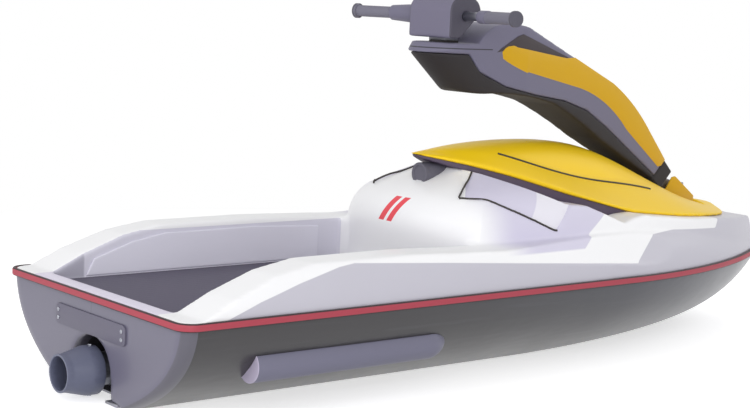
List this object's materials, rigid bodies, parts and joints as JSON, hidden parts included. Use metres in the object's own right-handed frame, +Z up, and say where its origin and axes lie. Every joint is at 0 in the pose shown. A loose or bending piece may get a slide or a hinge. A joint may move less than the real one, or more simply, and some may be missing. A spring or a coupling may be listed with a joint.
{
  "type": "stand-up personal watercraft",
  "caption": "Stand-up jet watercraft with riding tray, yellow hood, tilting steering pole with turning handlebar, red rub rail and jet pump with steering nozzle.",
  "frame": {"origin": "middle of the underside: half way along and across the craft, at the flat of its keel", "axes": "+X to the bow, +Y to port, +Z up"},
  "size_m": [2.289, 0.762, 0.891],
  "materials": {
    "hull_dark": "gloss gelcoat",
    "deck_white": "gloss gelcoat",
    "rail_red": "satin",
    "mat_grey": "grooved foam",
    "pad_grey": "foam",
    "hood_yellow": "gloss",
    "rim_purple": "satin",
    "rubber_grey": "satin",
    "duct_lavender": "satin",
    "engine_metal": "cast",
    "sponson_grey": "satin",
    "plate_metal": "cast",
    "pump_metal": "cast",
    "steel": "satin",
    "panel_grey": "satin",
    "stripe_yellow": "gloss",
    "pole_grey": "satin",
    "pad_black": "foam skin",
    "recess_brown": "matte",
    "nozzle_grey": "satin"
  },
  "bodies": {
    "root": {"hull": "hull_dark", "deck": "deck_white", "rub_rail": "rail_red", "tray_mat": "mat_grey", "side_pads": "pad_grey", "hood": "hood_yellow", "hood_rim": "rim_purple", "hood_latch": "rubber_grey", "side_ducts": "duct_lavender", "engine_block": "engine_metal", "sponsons": "sponson_grey", "ride_plate": "plate_metal", "intake_grate": "plate_metal", "pump_housing": "pump_metal", "nozzle_bolts": "steel", "transom_panel": "panel_grey", "bow_eye": "steel", "pole_bracket": "plate_metal", "bracket_cover": "stripe_yellow", "pivot_pin": "steel"},
    "pole": {"pole_shell": "pole_grey", "pole_underpad": "pad_black", "pole_stripes": "stripe_yellow", "pole_recess": "recess_brown", "pole_collar": "pad_black", "pole_foot": "plate_metal", "steering_bearing": "pad_black"},
    "bars": {"bar_mount": "plate_metal", "handlebar_tube": "steel", "bar_cover": "pole_grey", "grip_left": "rubber_grey", "grip_right": "rubber_grey", "switch_housing": "pole_grey", "throttle_housing": "pole_grey", "throttle_lever": "pad_black"},
    "nozzle": {"steering_nozzle": "nozzle_grey"},
    "rotor": {"impeller": "steel", "drive_shaft": "steel"}
  },
  "joints": [
    {"name": "pole_tilt", "type": "hinge", "parent": "root", "child": "pole", "pos_m": [0.7985, 0, 0.385], "axis": [0, 1, 0], "range_deg": [0, 48]},
    {"name": "handlebar_steer", "type": "hinge", "parent": "pole", "child": "bars", "pos_m": [-0.0995, 0, 0.8], "axis": [0, 0, 1], "range_deg": [-30, 30]},
    {"name": "nozzle_steer", "type": "hinge", "parent": "root", "child": "nozzle", "pos_m": [-1.0695, 0, 0.058], "axis": [0, 0, 1], "range_deg": [-22, 22]},
    {"name": "impeller_spin", "type": "hinge", "parent": "root", "child": "rotor", "pos_m": [-0.815, 0, 0.058], "axis": [1, 0, 0], "continuous": true}
  ],
  "couplings": [
    {"joint": "nozzle_steer", "follows": "handlebar_steer", "ratio": -0.73}
  ]
}
